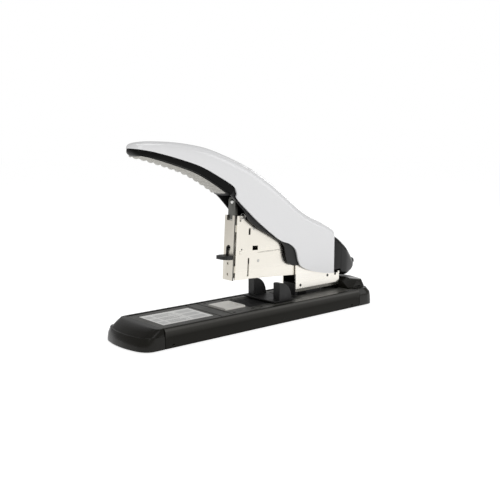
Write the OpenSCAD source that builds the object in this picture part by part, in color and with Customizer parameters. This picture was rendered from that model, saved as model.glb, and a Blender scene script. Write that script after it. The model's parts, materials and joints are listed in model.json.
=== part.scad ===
// Heavy-duty long-reach stapler.
// The base lies along X with the nose at -X, the operator's right hand is at -Y, and +Z is up.
// The origin is under the middle of the base, on the surface that it stands on.
// The handle and the staple head turn on one pivot pin, high up at the rear of the base.

/* [Base] */
// Overall length of the base, over both end caps
base_l = 324; // [322:1:326]
// Overall width of the base
base_w = 72; // [70:1:76]
// Height of the base's rim above the table
base_h = 19.7; // [19.5:0.1:20.2]
// Length of the front end cap
front_cap_l = 27; // [25:1:30]
// Length of the rear end cap
rear_cap_l = 29.4; // [28:0.2:32]

/* [Throat] */
// X of the staple line on the anvil
anvil_x = -25.4; // [-26:0.2:-25]
// X of the stop face at the back of the throat
stop_x = 55; // [54:0.5:56]

/* [Head] */
// X of the main pivot pin
pivot_x = 98; // [97.5:0.1:98.5]
// Height of the main pivot pin
pivot_z = 62; // [61.8:0.1:62.3]
// Upward tilt of the open head, in degrees
rest_tilt = 3.3; // [3.1:0.1:3.5]
// Width of the head over its side plates
head_w = 16.6; // [16.4:0.1:16.8]
// Distance from the pivot to the head's front face
head_reach = 130; // [129.5:0.1:130.2]
// Travel of the staple driver
driver_stroke = 16; // [14:0.5:16]

/* [Staples] */
// Width of a staple over its crown
staple_w = 13; // [12.8:0.1:13]
// Leg length of a staple
staple_leg = 13; // [6:1:13]
// Length of the strip that is loaded
strip_l = 42; // [20:1:42]

/* [Handle] */
// Width of the handle cover at the grip
handle_w = 30.4; // [30:0.1:31]
// Wall of the handle cover
cover_t = 1.7; // [1.5:0.1:1.8]
// Height of the finger ribs on the grip
rib_h = 0.8; // [0.5:0.1:1]

/* [Hidden] */

$fn = 40;
eps = 0.5;                      // how far a cutting tool runs past the face that it cuts
gap = 0.3;                      // usual gap between pieces that move past each other
fit = 0.05;                     // radial clearance of a pin in its bore

// Base, from the table up
base_x0 = -base_l / 2;
base_x1 = base_l / 2;
seam_f = base_x0 + front_cap_l;
seam_r = base_x1 - rear_cap_l;
seam_gap = 0.3;
half_w = base_w / 2;
wall = 2.6;
base_z = 0.8;                   // underside of the shell and the caps; the feet reach down to 0
floor_t = 1.2;                  // steel bottom plate
floor_z = 2.4;
web_t = 2.2;
panel_t = 2;
rim_in = 31;                    // inner edge of the rim, from the centre line
panel_half = 29.6;
panel_top = base_h - 0.5;
panel_z = panel_top - panel_t;
web_z = panel_z - web_t;
beam_t = 2;
beam_top = web_z;
beam_half = 24;
beam_x0 = -56;
beam_x1 = 128;

// Anvil plate
anvil_l = 26;
anvil_half = 14.4;
anvil_top = base_h + 1.5;
anvil_x0 = anvil_x - 21.6;
groove_w = 2.2;

// Guide track and paper guide
track_x0 = anvil_x0 + anvil_l + 3;
track_x1 = stop_x - 1;
track_half = 17.8;
guide_x = 17;                   // front face of the ears
guide_slot = [21, 2.4];         // centre and width of each guide slot in the deck
ear_y = [15.3, 25];
ear_l = 18;
ear_top = 40;

// Rear brackets
bracket_y = [9.2, 10.7];
bracket_x1 = 125;
flange_z = 23.4;
flange_h = 3.4;
tab_t = 0.7;
tab_y = bracket_y[0] + tab_t / 2;
rivets = [[62.2, 30.4], [105.5, 36.3], [118.5, 36.6]];
pin_r = 4;

// Head, in its own frame: origin on the pivot, x' along the magazine, z' up
head_half = head_w / 2;
plate_t = 1.4;
plate_in = head_half - plate_t;
front_x = -head_reach;
front_t = 1.6;
plate_x0 = front_x + 3;
head_bot = -21.7;
front_bot = head_bot - 1.1;
head_top = 43.5;
lever_z = 0.8;                  // middle of the jam lever's tab
lever_pivot = [front_x + 0.8, 10.4];
lever_pin_r = 0.5;
stem_y = [0.6, 2];
cross_rivets = [[-96, -3.5], [-60, -3.5], [-24, -3.5], [-104, 30.5]];
rivet_r = 1.6;

// Driver, at rest
blade_t = 1;
blade_x0 = front_x + front_t + 0.3;
blade_half = staple_w / 2 - 0.2;
blade_bot = head_bot + driver_stroke + 0.1;
neck_half = 5.4;
neck_t = 3.6;
neck_top = 61.9;
fork_y = [1.5, 3.2];
lug_half = 1.15;
driver_pin_at = [front_x + 18, 57.8];
driver_pin_r = 1.5;
// Arc that the pin travels on, about the pivot, while the driver goes straight down
pin_arc = norm(driver_pin_at);
pin_end_x = -sqrt(pin_arc * pin_arc - pow(driver_pin_at[1] - driver_stroke, 2));

// Magazine
rail_half = staple_w / 2 - 1;
rail_top = -7.5;
rail_bot = head_bot + 1;
rail_x0 = blade_x0 + blade_t + 0.4;
rail_x1 = 14;
rail_t = 1.2;
wire = 0.8;
rod_z = -14;
rod_r = 1.5;
strip_x1 = rail_x0 + 0.3 + strip_l;
pusher_l = 12;
cap_front = 12.5;               // front of the end cap, behind the pivot

// Handle, as rows of [edge x, edge z, crest x, crest z, half-width, crown depth]
hw = handle_w / 2;
cover_rows = [
    [-146, 180.8, -146, 182.2, 1.2, 0.8],
    [-145, 180.6, -144.4, 184.4, 6.5, 2.5],
    [-140, 179.8, -138, 186.3, 11.5, 4.5],
    [-126, 177.2, -123, 187.2, hw - 1.2, 7],
    [-101, 171, -96, 186, hw - 0.2, 9.5],
    [-76, 163.4, -66, 181.6, hw, 11],
    [-54, 153, -40, 173.5, hw, 12],
    [-37, 143.6, -22, 166.6, hw, 12],
    [-32.4, 136.5, -13, 162.6, hw, 12],
    [-31.6, 130.5, -6, 159.5, hw, 12],
    [-15.3, 115.5, 14, 148.3, hw, 12],
    [1, 102.1, 33, 135.8, hw - 0.1, 12],
    [27, 84.2, 54, 121, hw - 0.3, 12],
    [42, 78.4, 67, 112.6, hw - 0.4, 12],
    [51, 71, 76, 108, hw - 0.5, 12],
    [55, 59, 82, 105.4, hw - 0.6, 12],
    [60, 52, 87, 103.4, hw - 0.6, 12],
    [76, 45.2, 95, 100, hw - 0.6, 11.5],
    [97, 40.4, 105, 95.2, hw - 0.6, 11],
    [112, 38.6, 112, 91, hw - 0.6, 11]];
undershell_rows = [
    [-145.6, 180.5, -145.8, 179.2, 2, 0.8],
    [-144.2, 180.3, -145, 176.8, 7, 2],
    [-139, 179.3, -140.6, 173.6, 11, 3],
    [-126, 176.9, -128.4, 171.2, hw - 1.8, 3.5],
    [-101, 170.7, -104, 164.4, hw - 0.9, 3.5],
    [-76, 163.1, -79.4, 156.2, hw - 0.8, 3.5],
    [-54, 152.7, -58.2, 145.3, hw - 0.8, 3.5],
    [-38, 143.8, -43.4, 136.2, hw - 0.8, 3.5],
    [-34, 141.2, -40.2, 133.6, hw - 0.8, 3.5]];
channel_y = [11.2, 12.4];
channel_t = 1.4;
channel_depth = 10.5;           // from the cover's crest down to the channel's top
// Lower edge of the channel's cheeks, from the grip back to the pivot
cheek_edge = [[-100, 172.4], [-76, 165.1], [-54, 155], [-39, 147]];
cheek_front = [[-38.6, 134.8], [-31.6, 128.6], [-21, 117.6], [-13, 106.4], [-2, 98.4], [12, 91.4], [27, 83.4]];
cheek_neck = [[33, 79.8], [36.3, 75], [37.6, 68], [39.6, 61], [43.4, 56.4], [49.5, 53.8]];
cheek_rear = [[58, 53.4], [66, 50.6], [77, 46.8], [97, 42.2], [104, 41.6]];

// ---------------------------------------------------------------- helpers

function spline(a, b, c, d, t) =
    (2 * b + (c - a) * t + (2 * a - 5 * b + 4 * c - d) * t * t + (3 * b - a - 3 * c + d) * t * t * t) / 2;

// A smooth curve through a list of points or rows, with n steps between neighbours
function smooth(p, n) = [
    for (i = [0 : len(p) - 2]) for (k = [0 : n - 1])
        spline(p[max(i - 1, 0)], p[i], p[i + 1], p[min(i + 2, len(p) - 1)], k / n),
    p[len(p) - 1]];

function arc(c, r, a0, a1, n) = [for (i = [0 : n]) let (a = a0 + (a1 - a0) * i / n) c + r * [cos(a), sin(a)]];

// Cross-section of a crowned shell: straight sides up from the edge, then a rounded crown
function crowned(row, inset, below) =
    let (edge = [row[0], row[1]], rise = [row[2], row[3]] - edge, h = norm(rise), u = rise / h,
        w = max(row[4] - inset, 0.4 * row[4]), top = max(h - inset, 0.4 * h), c = min(row[5], 0.85 * top), steps = 12)
    [for (q = concat([[-w, -below]],
            [for (i = [0 : steps]) let (a = 180 * i / steps)
                [-w * sign(cos(a)) * pow(abs(cos(a)), 0.8), top - c + c * pow(sin(a), 0.8)]],
            [[w, -below]]))
        [edge[0] + u[0] * q[1], q[0], edge[1] + u[1] * q[1]]];

function middle(ring) = [for (p = ring) 1] * ring / len(ring);

// Rings turned, where needed, so that the skin's faces look outwards
function facing(rings) =
    let (r = rings[0], n = len(r),
        normal = [for (p = r) 1] * [for (k = [0 : n - 1]) cross(r[k] - r[0], r[(k + 1) % n] - r[0])])
    normal * (middle(rings[1]) - middle(r)) > 0 ? rings : [for (q = rings) [for (k = [n - 1 : -1 : 0]) q[k]]];

// Triangles that close a ring of n points, laid across it from its first and last points inwards
function lid(n) = [for (k = [0 : floor(n / 2) - 1]) let (a = k, b = k + 1, c = n - 2 - k, d = n - 1 - k)
    each (b < c ? [[a, b, c], [a, c, d]] : b == c ? [[a, b, d]] : [])];

// Closed skin over a list of rings that all have the same number of points
module skin(raw) {
    rings = facing(raw);
    m = len(rings);
    n = len(rings[0]);
    polyhedron(
        points = [for (r = rings) each r],
        faces = concat(
            lid(n),
            [for (i = [0 : m - 2]) for (k = [0 : n - 1]) for (half = [0, 1])
                let (a = i * n + k, b = i * n + (k + 1) % n, c = a + n, d = b + n)
                half == 0 ? [a, c, b] : [b, c, d]],
            [for (t = lid(n)) [t[2], t[1], t[0]] + [1, 1, 1] * (m - 1) * n]));
}

// Round wire wound along Z, from z = 0 to z = h
module coil(r, wire_d, h, turns, steps = 14, sides = 6) {
    count = ceil(turns * steps);
    skin([for (i = [0 : count])
        let (a = 360 * turns * i / count, z = wire_d / 2 + (h - wire_d) * i / count)
        [for (k = [0 : sides - 1]) let (b = -360 * k / sides, q = r + wire_d / 2 * cos(b))
            [q * cos(a), q * sin(a), z + wire_d / 2 * sin(b)]]]);
}

// Extrudes a drawing made in X and Z from y0 to y1
module slab(y0, y1) {
    translate([0, y1, 0]) rotate([90, 0, 0]) linear_extrude(y1 - y0) children();
}

module pair(y0, y1) {
    slab(y0, y1) children();
    slab(-y1, -y0) children();
}

module box(lo, hi) { translate(lo) cube(hi - lo); }

// A cylinder along Y, across the centre line, at [x, z]
module cross_pin(at, r, half) {
    translate([at[0], half, at[1]]) rotate([90, 0, 0]) cylinder(r = r, h = 2 * half);
}

// The head's frame, tilted up on the pivot
module in_head() {
    translate([pivot_x, 0, pivot_z]) rotate([0, rest_tilt, 0]) children();
}

module rounded_rect(lo, hi, r) {
    hull() for (x = [lo[0] + r, hi[0] - r], y = [lo[1] + r, hi[1] - r]) translate([x, y]) circle(r = r, $fn = 24);
}

// Plan of a base end: straight across at the seam, rounded at the tip
module end_plan(seam, tip, w, corner) {
    reach = abs(tip - seam);
    dir = tip > seam ? 1 : -1;
    c = min(corner, reach - 0.5);
    polygon(concat(
        [[seam, -w]],
        [for (i = [0 : 16]) let (a = -90 + 180 * i / 16)
            [tip - dir * c * (1 - pow(abs(cos(a)), 0.75)), w * sign(a) * pow(abs(sin(a)), 0.55)]],
        [[seam, w]]));
}

// Edge of the nose seen from above, as [distance behind the tip, half-width]: slanting, with rounded corners
nose_edge = [[17, 36], [13.6, 35.7], [9.8, 34.2], [6.6, 31], [3.6, 25.6], [1.2, 15], [0.2, 7], [0, 0]];

module nose_plan(seam, tip, w) {
    k = min(1, (seam - tip - 0.5) / nose_edge[0][0]);
    half = [for (q = smooth(nose_edge, 3)) [tip + max(0, q[0]) * k, min(w, q[1] * w / half_w)]];
    n = len(half) - 1;
    polygon(concat([[seam, -w]], [for (q = half) [q[0], -q[1]]], [for (i = [n - 1 : -1 : 0]) half[i]], [[seam, w]]));
}

// ---------------------------------------------------------------- base

module shell_section() {
    r = 2.2;
    outer = concat([[-half_w, base_z], [-half_w, base_h - r - 1]], arc([-half_w + r + 0.6, base_h - r], r, 165, 90, 6),
        arc([half_w - r - 0.6, base_h - r], r, 90, 15, 6), [[half_w, base_h - r - 1], [half_w, base_z]]);
    difference() {
        polygon(outer);
        translate([-half_w + wall, base_z - eps]) square([base_w - 2 * wall, web_z - base_z + eps]);
        translate([-rim_in, web_z + web_t]) square([2 * rim_in, 4]);
    }
}

module along_x(x0, x1) {
    translate([x0, 0, 0]) rotate([90, 0, 90]) linear_extrude(x1 - x0) children();
}

module base_shell() color([0.16, 0.16, 0.15]) difference() {
    along_x(seam_f + seam_gap, seam_r - seam_gap) shell_section();
    // snap windows low on both sides, near each end cap
    for (x = [seam_f + 9, seam_r - 13], s = [-1, 1])
        translate([x, s * half_w, base_z + 2.8]) cube([3, 2 * wall + 1, 1.4], center = true);
    // slots for the paper guide's legs and for the brackets' tabs
    for (s = [-1, 1]) translate([0, s * guide_slot[0], 0])
        box([-18, -guide_slot[1] / 2, web_z - eps], [stop_x - 1, guide_slot[1] / 2, panel_z + eps]);
    bracket_tabs(0.2);
}

module front_cap() color([0.13, 0.13, 0.12]) {
    x = seam_f - seam_gap;
    difference() {
        union() {
            hull() {
                translate([0, 0, base_z]) linear_extrude(2) nose_plan(x, base_x0, half_w);
                translate([0, 0, 7]) linear_extrude(1) nose_plan(x, base_x0 + 0.8, half_w);
                translate([0, 0, 12]) linear_extrude(0.9) nose_plan(x, base_x0 + 3, half_w - 0.3);
            }
            // top slope, set back from the front face by a crease
            hull() {
                translate([0, 0, 12]) linear_extrude(0.5) nose_plan(x, base_x0 + 4.2, half_w - 0.9);
                translate([0, 0, 16.4]) linear_extrude(0.4) nose_plan(x, base_x0 + 9.4, half_w - 1.2);
                translate([0, 0, base_h - 0.4]) linear_extrude(0.4) nose_plan(x, base_x0 + 16, half_w - 2.8);
            }
        }
        box([base_x0 + 15, -26, base_z - eps], [x + eps, 26, 13]);
    }
    // tongue that slides under the shell's deck, hung from the cap's roof by two ribs
    box([x - 3, -22, 9.5], [x + 8, 22, 12]);
    for (s = [-1, 1]) translate([x - 3, s * 20.9 - 1.1, 9.5]) cube([2.9, 2.2, 3.6]);
}

// Low part of the rear cap, with the hump that closes the base behind the brackets
module rear_cap() color([0.15, 0.15, 0.14]) {
    x = seam_r + seam_gap;
    difference() {
        union() {
            hull() {
                translate([0, 0, base_z]) linear_extrude(2) end_plan(x, base_x1, half_w, 17);
                translate([0, 0, 8]) linear_extrude(1) end_plan(x, base_x1 - 0.4, half_w, 17);
                translate([0, 0, 14.5]) linear_extrude(0.5) end_plan(x, base_x1 - 2, half_w - 0.4, 16);
                translate([0, 0, base_h - 0.5]) linear_extrude(0.5) end_plan(x, base_x1 - 5.5, half_w - 2.8, 15);
            }
            // hump, which stands over the deck up to the brackets; its side ridges rise to the rear
            hull() {
                box([x - 6.6, -23.5, panel_top + 0.3], [x, 23.5, 20.8]);
                box([x - 6.6, -10, 30.2], [base_x1 - 15, 10, 30.6]);
                translate([0, 0, panel_top + 0.3]) linear_extrude(1) end_plan(x, base_x1 - 3, 25, 10);
                translate([0, 0, 27]) linear_extrude(0.4) end_plan(base_x1 - 16, base_x1 - 5, 20.5, 6);
            }
        }
        box([x - eps, -26, base_z - eps], [base_x1 - 10, 26, 14.5]);
        // slot across the hump's side facet, one each side
        for (s = [-1, 1]) box([x + 3, s * 24.2 - 1.2, 20.3], [x + 14, s * 24.2 + 1.2, 21.4]);
    }
    box([x - 8, -22, 8], [x + 3, 22, 10.5]);
    for (s = [-1, 1]) translate([x + 0.1, s * 20.9 - 1.1, 8]) cube([2.9, 2.2, 6.6]);
}

module deck_panel() color([0.33, 0.33, 0.32]) difference() {
    box([seam_f + 0.6, -panel_half, panel_z], [seam_r - 0.6, panel_half, panel_top]);
    // window for the anvil plate, and the tray that the guide track lies in
    box([anvil_x0 - 0.2, -anvil_half - 0.2, panel_z - eps], [anvil_x0 + anvil_l + 0.2, anvil_half + 0.2, base_h]);
    box([track_x0 - 0.2, -track_half - 0.2, panel_z - eps], [track_x1 + 0.2, track_half + 0.2, base_h]);
    // shallow bed for the label, and two grooves across the deck behind it
    box([-127, -21.4, panel_top - 0.3], [-67.4, 21.4, base_h]);
    for (x = [seam_f + 71, seam_f + 85]) box([x - 0.6, -panel_half - eps, panel_top - 0.7], [x + 0.6, panel_half + eps, base_h]);
    // finger notches beside the anvil
    for (x = [seam_f + 91, seam_f + 115, seam_f + 127], s = [-1, 1])
        translate([x, s * 24.4, panel_top]) cube([3.6, 2.2, 2 * panel_t + 1], center = true);
    for (s = [-1, 1]) translate([0, s * guide_slot[0], 0])
        box([-18, -guide_slot[1] / 2, panel_z - eps], [stop_x - 1, guide_slot[1] / 2, base_h]);
    bracket_tabs(0.2);
}

module bottom_plate() color([0.55, 0.55, 0.55]) difference() {
    box([seam_f + 2, -half_w + wall + 0.3, floor_z], [seam_r - 2, half_w - wall - 0.3, floor_z + floor_t]);
    for (p = feet_at) translate([p[0], p[1], floor_z - eps]) cylinder(r = 2.6, h = floor_t + 2 * eps);
    for (x = beam_posts) translate([x, 0, floor_z - eps]) cylinder(r = 2.2, h = floor_t + 2 * eps);
}

feet_at = [[seam_f + 16, -24], [seam_f + 16, 24], [seam_r - 16, -24], [seam_r - 16, 24]];
beam_posts = [-44, 20, 88];

module rubber_feet() color([0.08, 0.08, 0.08]) for (p = feet_at) translate([p[0], p[1], 0]) {
    cylinder(r = 8, h = floor_z);
    translate([0, 0, floor_z - 0.01]) cylinder(r = 2.5, h = floor_t + 1.2);
}

// Steel channel under the deck that carries the anvil and the brackets
module base_beam() color([0.6, 0.6, 0.58]) difference() {
    union() {
        box([beam_x0, -beam_half, beam_top - beam_t], [beam_x1, beam_half, beam_top]);
        for (s = [-1, 1]) translate([0, s * (beam_half - beam_t / 2), 0])
            box([beam_x0, -beam_t / 2, beam_top - 8], [beam_x1, beam_t / 2, beam_top - beam_t + 0.01]);
        for (x = beam_posts) translate([x, 0, floor_z + floor_t]) cylinder(r = 4.5, h = beam_top - beam_t - floor_z - floor_t + 0.01);
    }
    for (s = [-1, 1]) translate([0, s * guide_slot[0], 0])
        box([-18, -guide_slot[1] / 2 - 0.6, beam_top - 9], [stop_x - 1, guide_slot[1] / 2 + 0.6, beam_top + eps]);
    bracket_tabs(0.1);
    for (x = beam_posts) translate([x, 0, floor_z]) cylinder(r = 1.55, h = 7);
}

// Bottom screws into the beam's posts
module base_screws() color([0.5, 0.5, 0.5]) {
    for (x = beam_posts) translate([x, 0, 0]) {
        translate([0, 0, 0.9]) cylinder(r = 3.4, h = floor_z - 0.9);
        translate([0, 0, floor_z - 0.01]) cylinder(r = 1.5, h = 6);
    }
}

// Hard plate with the pair of curved grooves that clinch the legs
module anvil_plate() color([0.85, 0.84, 0.8]) difference() {
    box([anvil_x0, -anvil_half, panel_z], [anvil_x0 + anvil_l, anvil_half, anvil_top]);
    for (s = [-1, 1]) translate([anvil_x - groove_w / 2, s * 4.2, anvil_top + 1.6]) rotate([0, 90, 0]) cylinder(r = 4.1, h = groove_w);
    // sloping edges
    for (s = [-1, 1]) translate([anvil_x0 - eps, s * (anvil_half + 0.6), anvil_top]) rotate([45, 0, 0])
        translate([0, -1.2, -1.2]) cube([anvil_l + 2 * eps, 2.4, 2.4]);
}

// Black tray with long ribs that the guide slides on
module guide_track() color([0.07, 0.07, 0.07]) difference() {
    union() {
        box([track_x0, -track_half, panel_z], [track_x1, track_half, panel_top - 0.9]);
        for (y = [-14.4 : 4.8 : 14.4]) box([track_x0 + 1, y - 0.6, panel_top - 0.91], [track_x1 - 1, y + 0.6, panel_top - 0.2]);
    }
    bracket_tabs(0.2);
}

module info_label() color([0.82, 0.82, 0.8])
    box([-126.5, -21, panel_top - 0.29], [-68, 21, panel_top - 0.05]);

// Plate across the deck with an upright ear each side; paper is pushed against the ears
module paper_guide() color([0.06, 0.06, 0.06]) {
    z0 = base_h + gap;
    box([guide_x - 7, -ear_y[1], z0], [guide_x + ear_l + 2, ear_y[1], z0 + 1.6]);
    pair(ear_y[0], ear_y[1]) polygon(concat(
        [[guide_x, z0], [guide_x + ear_l, z0]],
        [for (i = [0 : 10]) let (a = 90 * i / 10)
            [guide_x + 3 + (ear_l - 3) * cos(a), z0 + 1.5 + (ear_top - z0 - 1.5) * sin(a)]],
        [[guide_x, ear_top]]));
    // legs that run in the deck slots, with a foot under the beam level
    for (s = [-1, 1]) translate([0, s * guide_slot[0], 0]) {
        box([guide_x - 4, -guide_slot[1] / 2 + gap, web_z - 1.2], [guide_x + ear_l - 1, guide_slot[1] / 2 - gap, z0 + 0.5]);
    }
}

// ---------------------------------------------------------------- brackets

// Lower tabs of both brackets, grown by a clearance where they pass through a plate
module bracket_tabs(grow) {
    for (s = [-1, 1], x = [[60, 72], [119, bracket_x1]])
        box([x[0] - grow, s * tab_y - tab_t / 2 - grow, beam_top - beam_t - 1.6],
            [x[1] + grow, s * tab_y + tab_t / 2 + grow, flange_z + 0.5]);
}

module bracket_outline() {
    difference() {
        union() {
            polygon(concat(
                [[stop_x, flange_z + flange_h], [bracket_x1, flange_z + flange_h], [bracket_x1, 37.2], [108, 38.9], [104.5, 50]],
                arc([pivot_x, pivot_z], 8.2, -10, 150, 16),
                [[72, 60], [stop_x + 4, 57], [stop_x, 53]]));
            translate([bracket_x1 - 2, 36.4]) square([2.6, 3]);
        }
        translate([pivot_x, pivot_z]) circle(r = pin_r + 0.02);
        for (p = rivets) translate(p) circle(r = 1.62);
    }
}

// One bracket on the +Y side: upright plate, tapered foot and the two tabs that go down to the beam
module bracket() {
    slab(bracket_y[0], bracket_y[1]) bracket_outline();
    along_x(stop_x, bracket_x1) polygon([[bracket_y[0], flange_z + flange_h + 0.01],
        [bracket_y[1], flange_z + flange_h + 0.01], [bracket_y[0] + tab_t, flange_z], [bracket_y[0], flange_z]]);
    intersection() {
        bracket_tabs(0);
        box([0, 5, 0], [200, 20, 60]);
    }
}

module bracket_left() color([0.9, 0.88, 0.83]) bracket();
module bracket_right() color([0.9, 0.88, 0.83]) mirror([0, 1, 0]) bracket();

// Shouldered rivets that hold the two brackets apart
module bracket_rivets() color([0.35, 0.34, 0.33]) for (p = rivets) {
    cross_pin(p, 1.6, bracket_y[1] + 0.2);
    cross_pin(p, 2.6, bracket_y[0] - 0.02);
}

// Plastic stop at the back of the throat, with thin liners against the brackets
module stop_block() color([0.05, 0.05, 0.05]) difference() {
    union() {
        box([stop_x + 0.2, -bracket_y[0] + 0.08, base_h - 0.4], [stop_x + 2.6, bracket_y[0] - 0.08, 33]);
        box([stop_x + 0.2, -bracket_y[0] + 0.08, base_h - 0.4], [stop_x + 11, bracket_y[0] - 0.08, base_h + 1.4]);
        pair(bracket_y[0] - 0.58, bracket_y[0] - 0.08) polygon([[stop_x + 0.2, base_h - 0.4], [stop_x + 40, base_h - 0.4],
            [stop_x + 40, 33], [stop_x + 28, 44], [stop_x + 4, 48], [stop_x + 0.2, 44]]);
    }
    cross_pin(rivets[0], 2.64, 12);
}

module main_pivot_pin() color([0.75, 0.75, 0.73]) cross_pin([pivot_x, pivot_z], pin_r, 12.6);

// Retaining clips in the bore of the spring, one against each head plate
module pivot_clips() color([0.6, 0.6, 0.6]) for (s = [-1, 1]) translate([pivot_x, s * 8.75, pivot_z]) rotate([90, 0, 0])
    difference() {
        cylinder(r = 6.4, h = 0.5, center = true);
        cylinder(r = pin_r, h = 2, center = true);
    }

module head_lift_spring() color([0.7, 0.7, 0.68])
    translate([74, 0, base_h - 0.4]) coil(5.2, 1.2, lift_top - base_h + 0.4, 5.5);

lift_top = 36;

// ---------------------------------------------------------------- head

module head_plate_outline() {
    difference() {
        union() {
        polygon(concat(
            [[plate_x0, head_bot - 0.6], [plate_x0, head_top], [-115, head_top - 0.2], [-112, head_top - 2.6], [-98, 34], [-60, 21],
                [-9, 9.4]],
            arc([0, 0], 9.5, 90, 0, 8),
            [[9.5, -8], [12, -14], [12, head_bot], [-109, head_bot], [-111, head_bot - 0.6]]));
        }
        circle(r = pin_r + fit);
        for (p = cross_rivets) translate(p) circle(r = rivet_r + 0.02);
        translate([-110.8, 23.9]) square([2.4, 6.7]);
        translate([-104.7, 7.8]) square([7.4, 4.6]);
        translate([-110.5, -17.6]) square([2, 17.4]);
        translate([-109.6, -18]) circle(r = 1.5);
        translate(clip_hole) circle(r = 0.85);
        translate([-119.3, 9]) circle(r = 0.9);
    }
}

// A head plate on the +Y side, with its long pressed rib, a pressed boss and two thin ears for the front plate
module head_plate() {
    slab(plate_in, head_half) head_plate_outline();
    for (z = [-15, 27])
        box([front_x + front_t + 0.02, plate_in, z], [plate_x0 + 0.2, plate_in + 0.5, z + 7]);
    translate([-121, head_half - 0.2, 5.9]) rotate([-90, 0, 0]) cylinder(r1 = 1.9, r2 = 1.4, h = 0.65);
    translate([-97, head_half, 5.2]) rotate([0, -3.3, 0]) translate([0, -0.01, 0]) difference() {
        rotate([0, 90, 0]) cylinder(r = 0.55, h = 38);
        translate([-1, -2, -2]) cube([40, 2, 4]);
    }
}

module head_plate_left() color([0.93, 0.91, 0.86]) in_head() head_plate();
module head_plate_right() color([0.93, 0.91, 0.86]) in_head() mirror([0, 1, 0]) head_plate();

module front_plate() color([0.85, 0.82, 0.78]) in_head() difference() {
    box([front_x, -head_half + 0.6, front_bot], [front_x + front_t, head_half - 0.6, head_top + 0.2]);
    // notch that the lug drops into, hole for the lever's hook
    box([front_x - eps, -4.3, head_top - 5], [front_x + front_t + eps, 4.3, head_top + 2]);
    translate([front_x - eps, 0, lever_pivot[1]]) rotate([0, 90, 0]) cylinder(r = 3, h = front_t + 2 * eps);
    cross_pin(lever_pivot, lever_pin_r + fit, 4.6);
    for (z = [-5.6, -16.9]) translate([front_x - 0.6, 0, z]) rotate([0, 90, 0]) cylinder(r1 = 1.7, r2 = 1.1, h = 1.4);
}

clip_hole = [-122.7, 38.4];     // where the wire clip's end goes through the plate
clip_at = [-120.3, 43.3];       // centre of the clip's eye

// Wire clip on the operator's side: one open turn over the plate's top corner and an end through the plate
module wire_clip() color([0.75, 0.75, 0.73]) in_head() {
    y = -head_half - 0.05;
    translate([clip_at[0], y, clip_at[1]]) rotate([90, 0, 0]) coil(2.8, 0.8, 1.75, 1.05, 20, 8);
    translate([clip_hole[0], y - 0.8, clip_hole[1]]) rotate([0, 19, 0]) cylinder(r = 0.4, h = 2.9, $fn = 16);
    translate([clip_hole[0], y - 1.1, clip_hole[1]]) rotate([-90, 0, 0]) cylinder(r = 0.4, h = 2.75, $fn = 16);
}

// Cross rivets between the plates; the front one also carries the front plate's ears
module head_rivets() color([0.7, 0.69, 0.66]) in_head() for (p = cross_rivets) {
    cross_pin(p, rivet_r, head_half + 0.15);
    cross_pin(p, rivet_r + 0.9, plate_in - 0.02);
}

// Plastic seat under the head that the lift spring pushes on
module spring_seat() color([0.05, 0.05, 0.05]) in_head() {
    slab(-8.1, 8.1) polygon([[-33, head_bot - 0.15], [-32, head_bot - 5.3], [-17, head_bot - 5.3], [-15, head_bot - 0.15]]);
}

// Thumb tab in front of the plate, on a stem whose wire pin turns in a bore across the plate
module jam_lever() color([0.05, 0.05, 0.05]) in_head() {
    cross_pin(lever_pivot, lever_pin_r, 4.4);
    difference() {
        hull() {
            translate([front_x - 3, 0, lever_z]) cube([5.3, 14.4, 4.2], center = true);
            for (s = [-1, 1]) translate([front_x - 8.6, s * 4, lever_z - 1.8]) cylinder(r = 3, h = 3.5, $fn = 24);
        }
        box([front_x - 0.35, -20, -20], [front_x + 20, 20, 20]);
    }
    box([front_x - 1.6, stem_y[0], lever_z], [front_x - 0.4, stem_y[1], lever_pivot[1] + 1.2]);
    box([front_x - 1.5, stem_y[0], lever_pivot[1] - 0.8], [front_x + 1.3, stem_y[1], lever_pivot[1] + 1.2]);
}

// ---------------------------------------------------------------- driver

module driver_blade() color([0.6, 0.6, 0.6]) in_head()
    box([blade_x0, -blade_half, blade_bot], [blade_x0 + blade_t, blade_half, 40]);

// Block behind the blade, with the flat neck that stands up out of the head
module driver_holder() color([0.3, 0.3, 0.28]) in_head() difference() {
    union() {
        box([blade_x0 + blade_t + 0.02, -blade_half, 22], [blade_x0 + 6.4, blade_half, 40.6]);
        box([blade_x0 + 0.1, -neck_half, 40.5], [blade_x0 + 0.1 + neck_t, neck_half, neck_top - 3]);
        translate([blade_x0 + 0.1, 0, 0]) rotate([90, 0, 90]) linear_extrude(neck_t) polygon([[-neck_half, neck_top - 3.5],
            [-neck_half, neck_top - 1.6], [-neck_half + 1.6, neck_top], [neck_half - 1.6, neck_top],
            [neck_half, neck_top - 1.6], [neck_half, neck_top - 3.5]]);
    }
    translate([front_x, 0, driver_pin_at[1]]) rotate([0, 90, 0]) cylinder(r = 1.22, h = 20);
}

// U-shaped fork behind the neck; the handle's pin moves along its two level slots
module driver_fork() color([0.55, 0.55, 0.53]) in_head() {
    x = blade_x0 + 0.1 + neck_t + 0.02;
    difference() {
        union() {
            box([x, -fork_y[1], 53.4], [x + 1.2, fork_y[1], neck_top - 0.3]);
            pair(fork_y[0], fork_y[1]) translate([x + 0.6, 53.4]) square([driver_pin_at[0] + 4.4 - x, neck_top - 0.3 - 53.4]);
        }
        translate([front_x, 0, driver_pin_at[1]]) rotate([0, 90, 0]) cylinder(r = 1.22, h = 12);
        for (q = [pin_end_x - 0.5, driver_pin_at[0] + 0.4]) cross_pin([q, driver_pin_at[1]], driver_pin_r + 0.4, 10);
        box([pin_end_x - 0.5, -10, driver_pin_at[1] - driver_pin_r - 0.4], [driver_pin_at[0] + 0.4, 10, driver_pin_at[1] + driver_pin_r + 0.4]);
    }
}

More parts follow.
